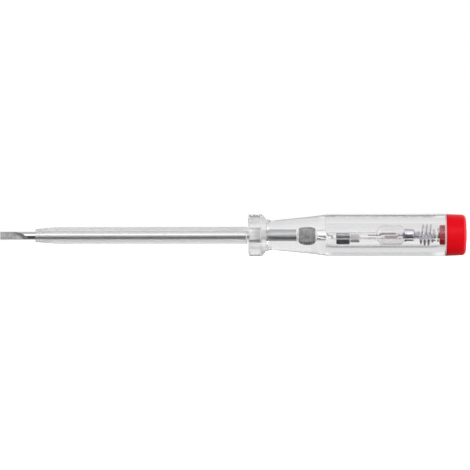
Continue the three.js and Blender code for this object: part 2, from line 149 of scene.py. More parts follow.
# The stack in the bore
STACK_DROP = 1.35
RESISTOR_RADIUS = 2.45
RESISTOR_CAP_RADIUS = 1.65
RESISTOR_LEAD_RADIUS = 0.25
JOINING_LEAD_RADIUS = 0.4
RESISTOR_SHEEN_FROM, RESISTOR_SHEEN_TO = 0.3, 0.6
GLASS_FRONT, GLASS_END = span("lamp_glass")
GLASS_RADIUS = 4.15
GLASS_WALL = 0.3
GLASS_DOME = 3.2
GLASS_BARREL = 6.0
GLASS_SHOULDER = 2.0
GLASS_NECK_RADIUS = 2.1
STEM_RADIUS = 0.95
STEM_FOOT_RADIUS = 1.3
LEAD_IN_RADIUS = 0.3
ELECTRODE_RADIUS = 0.4
ELECTRODE_OFFSET = 1.1
ELECTRODE_TURN = math.radians(35)
BRACE_RADIUS = 0.2
BASE_MOUTH, BASE_SEAT = span("lamp_base_cap")
BASE_RADIUS = 2.45
BASE_FLANGE_RADIUS = 2.75
BASE_SEAT_RADIUS = 1.4
SOLDER_RADIUS = 0.95

# The contact spring
SPRING_FRONT, SPRING_END = span("contact_spring")
SPRING_WIRE_RADIUS = 0.35
SPRING_END_RISE = 0.75
SPRING_SIZES = {
    "Front": SPRING_FRONT,
    "End rise": SPRING_END_RISE,
    "Middle rise": SPRING_END - SPRING_FRONT - 2 * (SPRING_WIRE_RADIUS + SPRING_END_RISE),
    "Coil radius": 4.1,
    "Front radius": 1.35,
    "Rear radius": 2.2,
    "Wire radius": SPRING_WIRE_RADIUS,
}
SPRING_TURNS = {"Turns": 5.75, "End turns": 1.0, "Cone turns": 0.7}
SPRING_STEPS = 420


# Materials
def linear(hex_colour):
    """An sRGB hex value as linear red, green, blue and alpha"""
    shares = [int(hex_colour[i:i + 2], 16) / 255 for i in (1, 3, 5)]
    return [c / 12.92 if c <= 0.04045 else ((c + 0.055) / 1.055) ** 2.4 for c in shares] + [1.0]


def add_node(tree, kind, links=(), settings=None, stops=None):
    """A new node with its inputs by name or in order, its settings, and the stops of a colour ramp

    One word as the settings is the node's operation. A node given as a link stands for its first
    output in use, and a hex string for its colour. The inputs of a range node are its value, the two
    ends that this is read between, and the two that they become.
    """
    if isinstance(settings, str):
        settings = {"operation": settings}
    node = tree.nodes.new(kind)
    for name, value in (settings or {}).items():
        setattr(node, name, value)
    named = {socket.name: socket for socket in reversed(node.inputs) if socket.enabled}
    for name, value in links.items() if isinstance(links, dict) else enumerate(links):
        target = node.inputs[name] if isinstance(name, int) else named[name]
        if isinstance(value, bpy.types.Node):
            value = next(socket for socket in value.outputs if socket.enabled)
        if isinstance(value, bpy.types.NodeSocket):
            tree.links.new(value, target)
        else:
            target.default_value = linear(value) if isinstance(value, str) else value
    for i, (position, colour) in enumerate((stops or {}).items()):
        stop = node.color_ramp.elements[i] if i < 2 else node.color_ramp.elements.new(position)
        stop.position = position
        stop.color = linear(colour) if isinstance(colour, str) else colour
    return node


def new_material(name):
    """A material, its empty tree, and the Object coordinates for its pattern"""
    material = bpy.data.materials.new(name)
    material.use_nodes = True
    tree = material.node_tree
    tree.nodes.clear()
    return material, tree, add_node(tree, "ShaderNodeTexCoord").outputs["Object"]


def finished(material, values):
    """The material, with its one shader"""
    shader = add_node(material.node_tree, "ShaderNodeBsdfPrincipled", values)
    add_node(material.node_tree, "ShaderNodeOutputMaterial", {"Surface": shader})
    return material


def per_metre(size):
    """The texture scale that gives features of a size in millimetres"""
    return 1 / (size * MM)


RGBA = {"data_type": "RGBA"}
GLOSS_SPREAD = 0.06


def blade_steel():
    """Drawn carbon steel: bright with die lines, scaled dull where it is moulded in, ground at the tip"""
    material, tree, place = new_material("drawn_and_ground_steel")
    axes = add_node(tree, "ShaderNodeSeparateXYZ", (place,)).outputs
    off_axis = add_node(tree, "ShaderNodeVectorMath", (place, (0, 1, 1)), "MULTIPLY")
    radius = add_node(tree, "ShaderNodeVectorMath", (off_axis,), "LENGTH")
    # Ground steel lies inside the rod's own radius, near the tip; scale begins inside the handle
    inside, moulded_in = (
        add_node(tree, "ShaderNodeMapRange", (value, low * MM, high * MM))
        for value, low, high in (
            (radius, SHANK_RADIUS - 0.01, SHANK_RADIUS - 0.03),
            (axes["X"], DULL_FROM, DULL_TO),
        )
    )
    at_tip, before_ears, at_ears, white_painted_ramps = (
        add_node(tree, "ShaderNodeMath", (axes["X"], limit * MM, reach * MM), operation)
        for operation, limit, reach in (
            ("LESS_THAN", TIP_FLAT + TIP_RUN_OUT + TIP_SLANT * SHANK_RADIUS, 0),
            ("LESS_THAN", EAR_FRONT - EAR_RAMP, 0),
            ("COMPARE", EAR_FRONT + EAR_LENGTH / 2, EAR_LENGTH / 2),
            ("COMPARE", EAR_FRONT + EAR_LENGTH / 2, EAR_LENGTH / 2 + EAR_RAMP),
        )
    )
    ground = add_node(tree, "ShaderNodeMath", (inside, at_tip), "MULTIPLY")
    dull = add_node(tree, "ShaderNodeMath", (ground, at_ears), "MAXIMUM")
    # Die lines 0.1 mm apart run the length of the rod; grinding marks 0.5 mm apart cross the tip
    along = add_node(tree, "ShaderNodeMapping", {"Vector": place, "Scale": (0.01, 1, 1)})
    die_lines = add_node(tree, "ShaderNodeTexNoise", {
        "Vector": along,
        "Scale": per_metre(0.1),
        "Detail": 3.0,
    })
    crossing = add_node(tree, "ShaderNodeMapping", {"Vector": place, "Scale": (1, 0.3, 0.3)})
    grinding = add_node(tree, "ShaderNodeTexNoise", {
        "Vector": crossing,
        "Scale": per_metre(0.5),
        "Detail": 4.0,
        "Roughness": 0.7,
    })
    bright = add_node(tree, "ShaderNodeValToRGB", (die_lines,), stops={0: "#d6d7d8", 1: "#f2f2f2"})
    # The coining dies left patches 1.2 mm across on the ears
    patches = add_node(tree, "ShaderNodeTexNoise", {"Vector": place, "Scale": per_metre(1.2)})
    mottled = add_node(tree, "ShaderNodeMix", {"Factor": 0.5, "A": grinding, "B": patches})
    grey = add_node(tree, "ShaderNodeValToRGB", (mottled,), stops={0.35: "#777777", 0.65: "#bdbdbd"})
    # The tip is ground finer than the dies leave the ears, so it is a lighter grey
    ground_grey = add_node(tree, "ShaderNodeMix", {
        "Factor": at_tip,
        "A": grey,
        "B": "#707070",
    }, {**RGBA, "blend_type": "ADD"})
    scaled = add_node(tree, "ShaderNodeMath", (moulded_in, before_ears), "MULTIPLY")
    colour = add_node(tree, "ShaderNodeMix", {
        "Factor": scaled,
        "A": bright,
        "B": "#c9c9cb",
    }, {**RGBA, "blend_type": "MULTIPLY"})
    # The slopes before and behind the ears are painted nearly white, a painted highlight for the glare on
    # them
    for share, tone in ((white_painted_ramps, "#ffffff"), (dull, ground_grey)):
        colour = add_node(tree, "ShaderNodeMix", {"Factor": share, "A": colour, "B": tone}, RGBA)
    rod_roughness = add_node(tree, "ShaderNodeMapRange", (scaled, 0, 1, 0.13, 0.38))
    coined = add_node(tree, "ShaderNodeMath", (dull, white_painted_ramps), "MAXIMUM")
    roughness = add_node(tree, "ShaderNodeMix", {"Factor": coined, "A": rod_roughness, "B": 0.6})
    relief = add_node(tree, "ShaderNodeMix", {"Factor": dull, "A": die_lines, "B": grinding})
    bump = add_node(tree, "ShaderNodeBump", {"Height": relief, "Distance": 0.004 * MM})
    return finished(material, {
        "Base Color": colour,
        "Metallic": 1.0,
        "Roughness": roughness,
        "Normal": bump,
    })


def surface_flow(tree, place, size, stretch, depth):
    """The faint waves in the skin of a clear plastic, drawn out along the tool"""
    stretched = add_node(tree, "ShaderNodeMapping", {"Vector": place, "Scale": (stretch, 1, 1)})
    waves = add_node(tree, "ShaderNodeTexNoise", {"Vector": stretched, "Scale": per_metre(size)})
    return add_node(tree, "ShaderNodeBump", {"Height": waves, "Distance": depth * MM})


def extruded_vinyl():
    """Clear extruded vinyl tube: glossy and faintly drawn, with a matt white sawn end by the handle"""
    material, tree, place = new_material("extruded_clear_vinyl")
    axes = add_node(tree, "ShaderNodeSeparateXYZ", (place,)).outputs
    sawn = axes["X"], SLEEVE_CUT_FROM * MM, SLEEVE_CUT_TO * MM
    return finished(material, {
        "Base Color": "#f1f1f1",
        "Roughness": add_node(tree, "ShaderNodeMapRange", (*sawn, 0.1, 0.6)),
        "IOR": 1.49,
        "Transmission Weight": add_node(tree, "ShaderNodeMapRange", (*sawn, 0.93, 0.3)),
        "Normal": surface_flow(tree, place, 2.0, 0.02, 0.0005),
    })


def moulded_acetate():
    """Clear moulded acetate: glossy, with two scuffed parting lines, a frosted collar, a matt shoulder"""
    material, tree, place = new_material("moulded_clear_acetate")
    axes = add_node(tree, "ShaderNodeSeparateXYZ", (place,)).outputs
    lean = math.radians(SEAM_ANGLE)
    collar_top_end = COLLAR_END - COLLAR_ROUNDING
    across, towards_shade_strip = (
        add_node(tree, "ShaderNodeVectorMath", (place, direction), "DOT_PRODUCT")
        for direction in (
            (0, -math.sin(lean), math.cos(lean)),
            (0, -math.cos(SHADE_STRIP_ANGLE), -math.sin(SHADE_STRIP_ANGLE)),
        )
    )
    off_line = add_node(tree, "ShaderNodeMath", (across,), "ABSOLUTE")
    off_axis = add_node(tree, "ShaderNodeVectorMath", (place, (0, 1, 1)), "MULTIPLY")
    radius = add_node(tree, "ShaderNodeVectorMath", (off_axis,), "LENGTH")
    # The scuffed lines run from the bore's floor to short of the cap, a strip along the front underside is
    # painted a little grey as painted shade, and the collar is lightly frosted, with its rear slope satin
    on_line, on_skin, on_body, before_cap, below, frosted = (
        add_node(tree, "ShaderNodeMapRange", (value, low * MM, high * MM, start, end))
        for value, low, high, start, end in (
            (off_line, SEAM_SCUFF * 0.4, SEAM_SCUFF, 1.0, 0.0),
            (radius, BODY_RADIUS - 1.0, BODY_RADIUS - 0.6, 0.0, 1.0),
            (axes["X"], SEAM_FRONT, SEAM_FRONT + 3, 0.0, 1.0),
            (axes["X"], SHOULDER - 6, SHOULDER - 3, 1.0, 0.0),
            (towards_shade_strip, SHADE_STRIP_REACH - 0.05, SHADE_STRIP_REACH + 0.05, 0.0, 1.0),
            (axes["X"], collar_top_end - 0.2, collar_top_end + 0.2, 0.45, 1.0),
        )
    )
    # The scuffs come and go in patches of 1.5 mm
    wear = add_node(tree, "ShaderNodeTexNoise", {"Vector": place, "Scale": per_metre(1.5)})
    wear_and_sheen = add_node(tree, "ShaderNodeMapRange", (wear, 0.3, 0.7, 0.5))
    # The shoulder under the cap is sawn matt, and its faint pink tint is a painted reflection of the red
    # cap
    before_neck, sawn, off_spigot = (
        add_node(tree, "ShaderNodeMath", (value, limit * MM, reach * MM), operation)
        for operation, value, limit, reach in (
            ("LESS_THAN", axes["X"], COLLAR_END + COLLAR_SLOPE, 0),
            ("COMPARE", axes["X"], SHOULDER, SHOULDER_BAND),
            ("GREATER_THAN", radius, SPIGOT_RADIUS + 0.3, 0),
        )
    )
    products = []
    for product, *shares in (
        (on_line, on_skin, on_body, before_cap, wear_and_sheen),
        (below, on_body, before_cap),
        (frosted, before_neck),
        (sawn, off_spigot),
    ):
        for share in shares:
            product = add_node(tree, "ShaderNodeMath", (product, share), "MULTIPLY")
        products.append(product)
    scuffed, painted_underside_shade, satin, matt = products
    clearness = add_node(tree, "ShaderNodeMapRange", (scuffed, 0, 1, 1.0, 0.3))
    for share, amount in ((satin, 0.72), (matt, 0.45)):
        clearness = add_node(tree, "ShaderNodeMix", {"Factor": share, "A": clearness, "B": amount})
    coarse = add_node(tree, "ShaderNodeMath", (satin, 0.6), "MULTIPLY")
    for share in (matt, scuffed):
        coarse = add_node(tree, "ShaderNodeMath", (coarse, share), "MAXIMUM")
    # The underside strip's grey is painted shade, and the matt shoulder's faint pink is a painted
    # reflection of the red cap
    colour = "#fbfbfb"
    for share, tone in ((scuffed, "#a8a8aa"), (painted_underside_shade, "#bcbcbe"), (matt, "#f8eeee")):
        colour = add_node(tree, "ShaderNodeMix", {"Factor": share, "A": colour, "B": tone}, RGBA)
    return finished(material, {
        "Base Color": colour,
        "Roughness": add_node(tree, "ShaderNodeMapRange", (coarse, 0, 1, 0.02, 0.5)),
        "IOR": 1.49,
        "Transmission Weight": clearness,
        "Normal": surface_flow(tree, place, 5.0, 0.3, 0.01),
    })


def lamp_glass():
    """Blown lead glass: clear with a breath of lilac, a little uneven where it was drawn and pressed"""
    material, tree, place = new_material("blown_glass")
    seeds = add_node(tree, "ShaderNodeTexNoise", {"Vector": place, "Scale": per_metre(2.5)})
    return finished(material, {
        "Base Color": "#fbf9fb",
        "Roughness": 0.01,
        "IOR": 1.5,
        "Transmission Weight": 1.0,
        "Normal": add_node(tree, "ShaderNodeBump", {"Height": seeds, "Distance": 0.05 * MM}),
    })


def red_plastic():
    """Moulded red ABS: strong red, satin; painted shade darkens the boss and the skirt by the rim, painted
    highlights lighten the lip and the rear edge
    """
    material, tree, place = new_material("moulded_red_abs")
    axes = add_node(tree, "ShaderNodeSeparateXYZ", (place,)).outputs
    cloud = add_node(tree, "ShaderNodeTexNoise", {
        "Vector": place,
        "Scale": per_metre(4.0),
        "Detail": 3.0,
    })
    plain = add_node(tree, "ShaderNodeValToRGB", (cloud,), stops={0.25: "#d6000f", 0.75: "#dd0016"})
    # A painted highlight: a light red ring round the rear corner of the cap
    past_highlight = add_node(tree, "ShaderNodeMath", (axes["X"], CAP_HIGHLIGHT_PLACE * MM), "SUBTRACT")
    off_highlight = add_node(tree, "ShaderNodeMath", (past_highlight,), "ABSOLUTE")
    rim_shade_fade, on_skirt, painted_edge_highlight = (
        add_node(tree, "ShaderNodeMapRange", (value, low * MM, high * MM))
        for value, low, high in (
            (axes["X"], CAP_RIM + 0.9, CAP_RIM + 0.6),
            (axes["X"], CAP_RIM - 0.1, CAP_RIM),
            (off_highlight, 0.3, 0.1),
        )
    )
    # Painted shade: the skirt darkens towards the rim, where it meets the handle
    painted_rim_shade = add_node(tree, "ShaderNodeMath", (rim_shade_fade, on_skirt), "MULTIPLY")
    # A painted highlight: a pinkish-white band on the lip at the rim
    painted_lip_highlight = add_node(tree, "ShaderNodeMath", (axes["X"], CAP_RIM * MM, CAP_LIP_HIGHLIGHT * MM), "COMPARE")
    # The boss in the bore starts a darker red than the skirt, as painted shade
    colour = "#ae001a"
    for share, tone in (
        (on_skirt, plain),
        (painted_rim_shade, "#a4001a"),
        (painted_edge_highlight, "#ee3a48"),
        (painted_lip_highlight, "#f2b4b4"),
    ):
        colour = add_node(tree, "ShaderNodeMix", {"Factor": share, "A": colour, "B": tone}, RGBA)
    grain = add_node(tree, "ShaderNodeTexNoise", {"Vector": place, "Scale": per_metre(0.12)})
    return finished(material, {
        "Base Color": colour,
        "Roughness": add_node(tree, "ShaderNodeMapRange", (cloud, 0, 1, 0.3, 0.4)),
        "IOR": 1.53,
        "Specular IOR Level": 0.1,
        "Normal": add_node(tree, "ShaderNodeBump", {"Height": grain, "Distance": 0.003 * MM}),
    })


def small_part(name, dark, light, patch, roughness, relief, metallic=1.0):
    """Plated, drawn, soldered or coated small parts, with patches that handling and tarnishing leave"""
    material, tree, place = new_material(name)
    patches = add_node(tree, "ShaderNodeTexNoise", {
        "Vector": place,
        "Scale": per_metre(patch),
        "Detail": 4.0,
    })
    worn_to_clean = roughness - GLOSS_SPREAD, roughness + GLOSS_SPREAD
    return finished(material, {
        "Base Color": add_node(tree, "ShaderNodeValToRGB", (patches,), stops={0.3: dark, 0.7: light}),
        "Metallic": metallic,
        "Roughness": add_node(tree, "ShaderNodeMapRange", (patches, 0, 1, *worn_to_clean)),
        "Normal": add_node(tree, "ShaderNodeBump", {"Height": patches, "Distance": relief * MM}),
    })


def black_lacquer():
    """Black resistor lacquer, its top metallic and light grey: a painted sheen where the light falls on
    the top
    """
    material, tree, place = new_material("dipped_black_lacquer")
    axes = add_node(tree, "ShaderNodeSeparateXYZ", (place,)).outputs
    # Lumps of 0.3 mm move the edge of the painted sheen up and down
    lumps = add_node(tree, "ShaderNodeTexNoise", {
        "Vector": place,
        "Scale": per_metre(0.3),
        "Detail": 3.0,
    })
    edge = add_node(tree, "ShaderNodeMath", (lumps, 1.2 * MM, axes["Z"]), "MULTIPLY_ADD")
    wear_and_sheen = add_node(tree, "ShaderNodeMapRange", (edge, RESISTOR_SHEEN_FROM * MM, RESISTOR_SHEEN_TO * MM))
    black = add_node(tree, "ShaderNodeValToRGB", (lumps,), stops={0: "#404146", 1: "#5a5b61"})
    top_sheen = add_node(tree, "ShaderNodeValToRGB", (lumps,), stops={0.35: "#86868b", 0.6: "#bcbcc0"})
    return finished(material, {
        "Base Color": add_node(tree, "ShaderNodeMix", {"Factor": wear_and_sheen, "A": black, "B": top_sheen}, RGBA),
        "Metallic": wear_and_sheen,
        "Roughness": 0.25,
        "Normal": add_node(tree, "ShaderNodeBump", {"Height": lumps, "Distance": 0.02 * MM}),
    })


def shaded_nickel_shell():
    """Nickel plated shell: bright lilac, its top greyer and its lower side dark, both painted shade"""
    material, tree, place = new_material("nickel_shell_painted_shade")
    axes = add_node(tree, "ShaderNodeSeparateXYZ", (place,)).outputs
    patches = add_node(tree, "ShaderNodeTexNoise", {
        "Vector": place,
        "Scale": per_metre(1.0),
        "Detail": 3.0,
    })
    height = add_node(tree, "ShaderNodeMath", (patches, MM, axes["Z"]), "MULTIPLY_ADD")
    # The painted shade below stops short of the rounded rear end
    low, in_front, painted_top_shade = (
        add_node(tree, "ShaderNodeMapRange", (value, start * MM, end * MM))
        for value, start, end in (
            (height, 1.1, 0.7),
            (axes["X"], BASE_SEAT - 0.7, BASE_SEAT - 1.2),
            (axes["Z"], 1.35, 1.75),
        )
    )
    painted_lower_shade = add_node(tree, "ShaderNodeMath", (low, in_front), "MULTIPLY")
    colour = "#d8d1dc"
    for share, tone in ((painted_top_shade, "#a39ca8"), (painted_lower_shade, "#6d6672")):
        colour = add_node(tree, "ShaderNodeMix", {"Factor": share, "A": colour, "B": tone}, RGBA)
    return finished(material, {
        "Base Color": colour,
        "Metallic": 1.0,
        "Roughness": 0.12,
        "Normal": add_node(tree, "ShaderNodeBump", {"Height": patches, "Distance": 0.01 * MM}),
    })


steel = blade_steel()
sleeve_vinyl = extruded_vinyl()
handle_acetate = moulded_acetate()
glass = lamp_glass()
red_abs = red_plastic()
nickel = small_part("nickel_plated_brass", "#b3a9a6", "#d9cfcb", 1.5, 0.2, 0.003)
shell_nickel = shaded_nickel_shell()
spring_steel = small_part("bright_spring_wire", "#9b95a0", "#d6d1da", 0.6, 0.1, 0.002)
dull_nickel = small_part("worn_nickel_ferrule", "#cdc4c5", "#f2ecec", 0.6, 0.75, 0.01)
tinned_copper = small_part("tinned_copper_wire", "#a79f9f", "#d2cccc", 0.5, 0.28, 0.004)
# The far, upper electrode's wire is darkened, painted shade for where it stands in the lamp
shaded_electrode_wire = small_part("electrode_wire_painted_shade", "#5e4a4d", "#8c7175", 0.5, 0.5, 0.01)
coated_wire = small_part("oxide_coated_electrode", "#d9bcbd", "#f0d9d8", 0.5, 0.6, 0.01, 0.0)
solder = small_part("tin_lead_solder", "#b9b8c6", "#dcdbe6", 0.7, 0.25, 0.01)
lacquer = black_lacquer()


# Meshes
def fan(count):
    """Even angles round the tool, from +Y towards +Z"""
    return [2 * math.pi * k / count for k in range(count)]


def ring(x, radius, angles, lift=0.0):
    """Points of a circle across the tool, or its middle point where the radius is 0"""
    if radius == 0:
        return [(x, 0, lift)]
    return [(x, radius * math.cos(a), lift + radius * math.sin(a)) for a in angles]


def shaped(name, rings, material, looped=False):
    """An object skinned over rings of points in millimetres; looped closes the last on the first"""
    points, starts, faces = [], [], []
    for each in rings:
        starts.append(len(points))
        points.extend(Vector(p) * MM for p in each)
    pairs = [(i, i + 1) for i in range(len(rings) - 1)]
    if looped:
        pairs.append((len(rings) - 1, 0))
    for a, b in pairs:
        count = max(len(rings[a]), len(rings[b]))
        for k in range(count):
            j = (k + 1) % count
            if len(rings[a]) == 1:
                faces.append((starts[a], starts[b] + j, starts[b] + k))
            elif len(rings[b]) == 1:
                faces.append((starts[a] + k, starts[a] + j, starts[b]))
            else:
                faces.append((starts[a] + k, starts[a] + j, starts[b] + j, starts[b] + k))
    mesh = bpy.data.meshes.new(name)
    mesh.from_pydata(points, [], faces)
    mesh.materials.append(material)
    return in_scene(name, smoothed(mesh))


def smoothed(mesh):
    """The mesh, smooth but for its real edges"""
    mesh.polygons.foreach_set("use_smooth", [True] * len(mesh.polygons))
    mesh.set_sharp_from_angle(angle=SHARP_ANGLE)
    return mesh


def in_scene(name, data):
    """A new object in the scene"""
    obj = bpy.data.objects.new(name, data)
    bpy.context.scene.collection.objects.link(obj)
    return obj


def settle(obj):
    """Turns what the modifiers make into the object's own mesh"""
    graph = bpy.context.evaluated_depsgraph_get()
    mesh = bpy.data.meshes.new_from_object(obj.evaluated_get(graph))
    obj.modifiers.clear()
    obj.data = smoothed(mesh)


def rounded(profile, reach, steps=4, looped=False):
    """A profile of (place, radius) with its corners turned to short curves"""
    points = [Vector(p) for p in profile]
    last = len(points) - 1
    result = []
    for i, corner in enumerate(points):
        if not looped and i in (0, last):
            result.append(corner)
            continue
        before, after = points[i - 1] - corner, points[(i + 1) % len(points)] - corner
        back = corner + before.normalized() * min(reach, before.length * 0.45)
        ahead = corner + after.normalized() * min(reach, after.length * 0.45)
        for s in range(steps + 1):
            t = s / steps
            result.append(back.lerp(corner, t).lerp(corner.lerp(ahead, t), t))
    return [tuple(p) for p in result]


def arc(x, radius, reach_x, reach_r, start, end, steps):
    """Points of a quarter round or oval edge about a centre, in degrees from +X"""
    angles = [math.radians(start + (end - start) * i / steps) for i in range(steps + 1)]
    return [(x + reach_x * math.cos(a), radius + reach_r * math.sin(a)) for a in angles]


def turned(name, profile, material, count=ROUND, lift=0.0, looped=False):
    """A piece turned about the tool's axis, or about a line beside it"""
    angles = fan(count)
    return shaped(name, [ring(x, r, angles, lift) for x, r in profile], material, looped)


def belongs(piece, body, slot, *nodes):
    """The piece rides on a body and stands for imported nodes"""
    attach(piece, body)
    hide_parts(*nodes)


def smooth_step(value, low, high):
    """0 below low, 1 above high, and a smooth rise between"""
    t = min(max((value - low) / (high - low), 0), 1)
    return t * t * (3 - 2 * t)


# The blade: a rod with coined ears, ground hollow on both sides at its tip
def rod_ring(x, angles, inset=0.0):
    """The rod's section: coined flat and wide at the ears, with a slanting press mark behind them"""
    along = (x - EAR_FRONT) / EAR_LENGTH
    widened = math.sin(math.pi * along ** 1.1) ** 0.35 if 0 < along < 1 else 0.0
    pressed = smooth_step(x, EAR_FRONT - EAR_RAMP, EAR_FRONT) - smooth_step(x, EAR_END, EAR_END + EAR_RAMP)
    wide = SHANK_RADIUS + (EAR_HALF_WIDTH - SHANK_RADIUS) * widened - inset
    thick = SHANK_RADIUS + (EAR_HALF_THICKNESS - SHANK_RADIUS) * pressed - inset
    mark_angle = MARK_START + (MARK_END - MARK_START) * (x - TAIL_FRONT) / (SHANK_END - TAIL_FRONT)
    marked = MARK_DEPTH * smooth_step(x, TAIL_FRONT, TAIL_FRONT + 0.3)
    points = []
    for a in angles:
        off = abs(math.degrees(a) - mark_angle) / MARK_HALF_WIDTH
        r = SHANK_RADIUS - inset - marked * max(0.0, 1 - off)
        y = max(-thick, min(thick, r * math.cos(a)))
        points.append((x, y, r * math.sin(a) * wide / (SHANK_RADIUS - inset) - EAR_DROP * widened))
    return points


def coined_stations(steps=64):
    """Even places from before the ears to the rod's end"""
    first, last = EAR_FRONT - EAR_RAMP, SHANK_END - 0.3
    return [first + (last - first) * i / steps for i in range(steps + 1)]


def grinding_wheel_path(steps=24):
    """The outline of what is ground off one side of the tip, as (place, height)"""
    clear = SHANK_RADIUS + 1
    flat_end = Vector((TIP_FLAT, TIP_ROOT_HALF))
    bend = Vector((TIP_FLAT + TIP_RUN_OUT / 2, TIP_ROOT_HALF))
    run_out = Vector((TIP_FLAT + TIP_RUN_OUT, SHANK_RADIUS))
    shares = [i / steps for i in range(steps + 1)]
    curve = [tuple(flat_end.lerp(bend, t).lerp(bend.lerp(run_out, t), t)) for t in shares]
    return [(-1, TIP_END_HALF), (0, TIP_END_HALF), *curve, (TIP_FLAT + TIP_RUN_OUT, clear), (-1, clear)]


def cut_tip(blade):
    """Grinds both sides of the tip, with the run-out aslant"""
    path = grinding_wheel_path()
    count = len(path)
    half = SHANK_RADIUS + 1
    for side in (1, -1):
        points = [
            Vector((x - z * TIP_SLANT * (x > 1), side * y, z)) * MM
            for z in (-half, half)
            for x, y in path
        ]
        faces = [tuple(range(count)), tuple(reversed(range(count, 2 * count)))]
        for k in range(count):
            j = (k + 1) % count
            faces.append((j, k, k + count, j + count))
        mesh = bpy.data.meshes.new("grinding_wheel")
        mesh.from_pydata(points, [], [f[::-1] for f in faces] if side > 0 else faces)
        cutter = in_scene("grinding_wheel", smoothed(mesh))
        cut = blade.modifiers.new("grind", "BOOLEAN")
        cut.operation = "DIFFERENCE"
        cut.solver = "EXACT"
        cut.object = cutter
        settle(blade)
        bpy.data.objects.remove(cutter)


round_rod = fan(ROD_ROUND)
stations = [0.0, 2.0, 4.0, 6.0, 8.0, 10.0, 12.0, 60.0, 100.0, *coined_stations(), SHANK_END - 0.15]
rod = [ring(0, 0, round_rod), *(rod_ring(x, round_rod) for x in stations)]
rod += [rod_ring(SHANK_END, round_rod, 0.15), ring(SHANK_END, 0, round_rod)]
blade = shaped("steel_blade", rod, steel)
cut_tip(blade)
belongs(blade, "handle", "blade_steel", "blade")

# The sleeve is a tube with a little air between it and the shank
sleeve = turned("clear_sleeve", rounded([
    (SLEEVE_FRONT, SLEEVE_BORE),
    (SLEEVE_FRONT, SLEEVE_NOSE_RADIUS),
    (SLEEVE_FRONT + SLEEVE_TAPER, SLEEVE_RADIUS),
    (SLEEVE_END, SLEEVE_RADIUS),
    (SLEEVE_END, SLEEVE_BORE),
], 0.35, looped=True), sleeve_vinyl, looped=True)
belongs(sleeve, "handle", "clear_sleeve", "insulating_sleeve")


# The handle
def through(stations, steps):
    """A smooth curve through stations, as (place, radius)"""
    last = len(stations) - 1
    curve = []
    for i in range(steps + 1):
        run = last * i / steps
        k = min(int(run), last - 1)
        t = run - k
        p = [Vector(stations[min(max(n, 0), last)]) for n in (k - 1, k, k + 1, k + 2)]
        lean_in, lean_out = (p[2] - p[0]) / 2, (p[3] - p[1]) / 2
        bend = (2 * p[1] - 2 * p[2] + lean_in + lean_out) * t ** 3
        sweep = (-3 * p[1] + 3 * p[2] - 2 * lean_in - lean_out) * t ** 2
        curve.append(tuple(bend + sweep + lean_in * t + p[1]))
    return curve


# Even angles round the handle, and close ones at the two lines where the mould's halves meet
SEAM_STEPS = (-2.0, -1.5, -1.0, -0.5, 0.5, 1.0, 1.5, 2.0)
SEAM_ANGLES = [math.radians(side + SEAM_ANGLE + step) for side in (0, 180) for step in SEAM_STEPS]
HANDLE_ANGLES = sorted(fan(BODY_ROUND) + SEAM_ANGLES)


def faceted_ring(x, radius):
    """A ring of the collar: the turned radius, cut by the flats of the hexagon"""
    points = []
    for a in HANDLE_ANGLES:
        off_flat = (math.degrees(a) + 60) % 60 - 30
        flat = FLAT_RADIUS / math.cos(math.radians(off_flat))
        both = (radius ** -FACET_CRISPNESS + flat ** -FACET_CRISPNESS) ** (-1 / FACET_CRISPNESS)
        points += ring(x, both, [a])
    return points


def skin_ring(x, radius):
    """A ring of the body's skin, notched where the mould's halves meet"""
    depth = SEAM_DEPTH * smooth_step(x, SEAM_FRONT, SEAM_FRONT + 3)
    points = []
    for a in HANDLE_ANGLES:
        off_seam = abs((math.degrees(a) - SEAM_ANGLE + 90) % 180 - 90)
        points += ring(x, radius - depth * max(0.0, 1 - off_seam / SEAM_HALF_WIDTH), [a])
    return points


